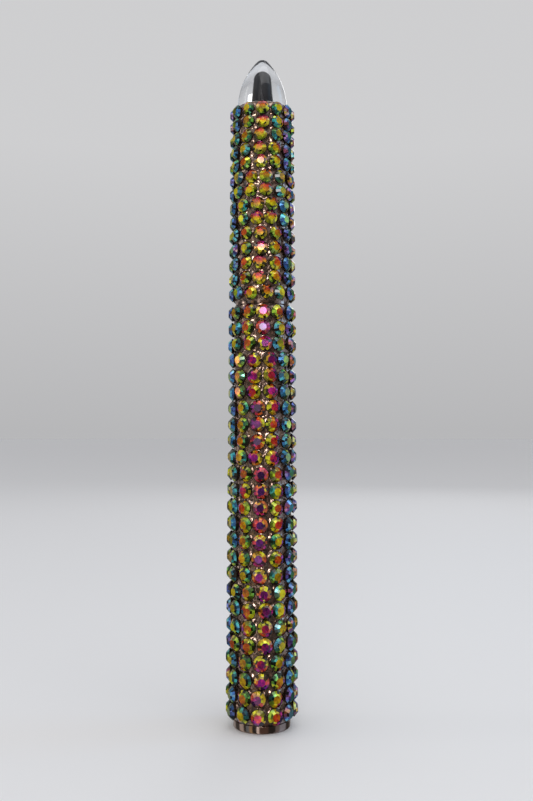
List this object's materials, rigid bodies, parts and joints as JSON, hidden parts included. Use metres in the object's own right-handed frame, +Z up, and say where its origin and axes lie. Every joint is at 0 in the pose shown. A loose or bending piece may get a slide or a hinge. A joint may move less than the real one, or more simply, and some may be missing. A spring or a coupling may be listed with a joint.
{
  "type": "dip pen",
  "caption": "Travel dip pen with a pull-off cap, covered in rings of flat-backed stones and ending in a clear pointed finial.",
  "frame": {"origin": "centre of the end plug's resting face", "axes": "+Z up along the pen's axis, from the end plug to the finial's tip; +Y is the open side of the nib's curve"},
  "size_m": [0.0144, 0.0144, 0.1392],
  "materials": {
    "rose_gold": "polished rose-gold plating",
    "stone_foil": "faceted glass with a rainbow metallic coating",
    "clear_acrylic": "clear, polished",
    "black_plastic": "moulded",
    "dark_steel": "dark polished",
    "polished_steel": "polished spring steel",
    "brass": "turned",
    "rubber": "matt"
  },
  "bodies": {
    "barrel": {"barrel_tube": "rose_gold", "end_plug": "rose_gold", "section_bush": "brass", "grip_section": "rose_gold", "cap_snap_ring": "rubber", "nib_core": "black_plastic", "nib_ferrule": "polished_steel", "barrel_stones_01": "stone_foil", "barrel_stones_02": "stone_foil", "barrel_stones_03": "stone_foil", "barrel_stones_04": "stone_foil", "barrel_stones_05": "stone_foil", "barrel_stones_06": "stone_foil", "barrel_stones_07": "stone_foil", "barrel_stones_08": "stone_foil", "barrel_stones_09": "stone_foil", "barrel_stones_10": "stone_foil", "barrel_stones_11": "stone_foil", "barrel_stones_12": "stone_foil", "barrel_stones_13": "stone_foil", "barrel_stones_14": "stone_foil", "barrel_stones_15": "stone_foil", "barrel_stones_16": "stone_foil", "barrel_stones_17": "stone_foil", "barrel_stones_18": "stone_foil", "barrel_stones_19": "stone_foil", "barrel_stones_20": "stone_foil", "barrel_stones_21": "stone_foil", "barrel_stones_22": "stone_foil", "barrel_stones_23": "stone_foil", "barrel_stones_24": "stone_foil", "barrel_stones_25": "stone_foil"},
    "nib": {"nib": "polished_steel"},
    "cap": {"cap_tube": "rose_gold", "cap_liner": "black_plastic", "finial": "clear_acrylic", "finial_post": "dark_steel", "cap_stones_01": "stone_foil", "cap_stones_02": "stone_foil", "cap_stones_03": "stone_foil", "cap_stones_04": "stone_foil", "cap_stones_05": "stone_foil", "cap_stones_06": "stone_foil", "cap_stones_07": "stone_foil", "cap_stones_08": "stone_foil", "cap_stones_09": "stone_foil", "cap_stones_10": "stone_foil", "cap_stones_11": "stone_foil", "cap_stones_12": "stone_foil", "cap_stones_13": "stone_foil", "cap_stones_14": "stone_foil"}
  },
  "joints": [
    {"name": "cap_pull", "type": "slide", "parent": "barrel", "child": "cap", "axis": [0, 0, 1], "range_m": [0, 0.045]},
    {"name": "nib_pull", "type": "slide", "parent": "barrel", "child": "nib", "axis": [0, 0, 1], "range_m": [0, 0.0072]}
  ]
}
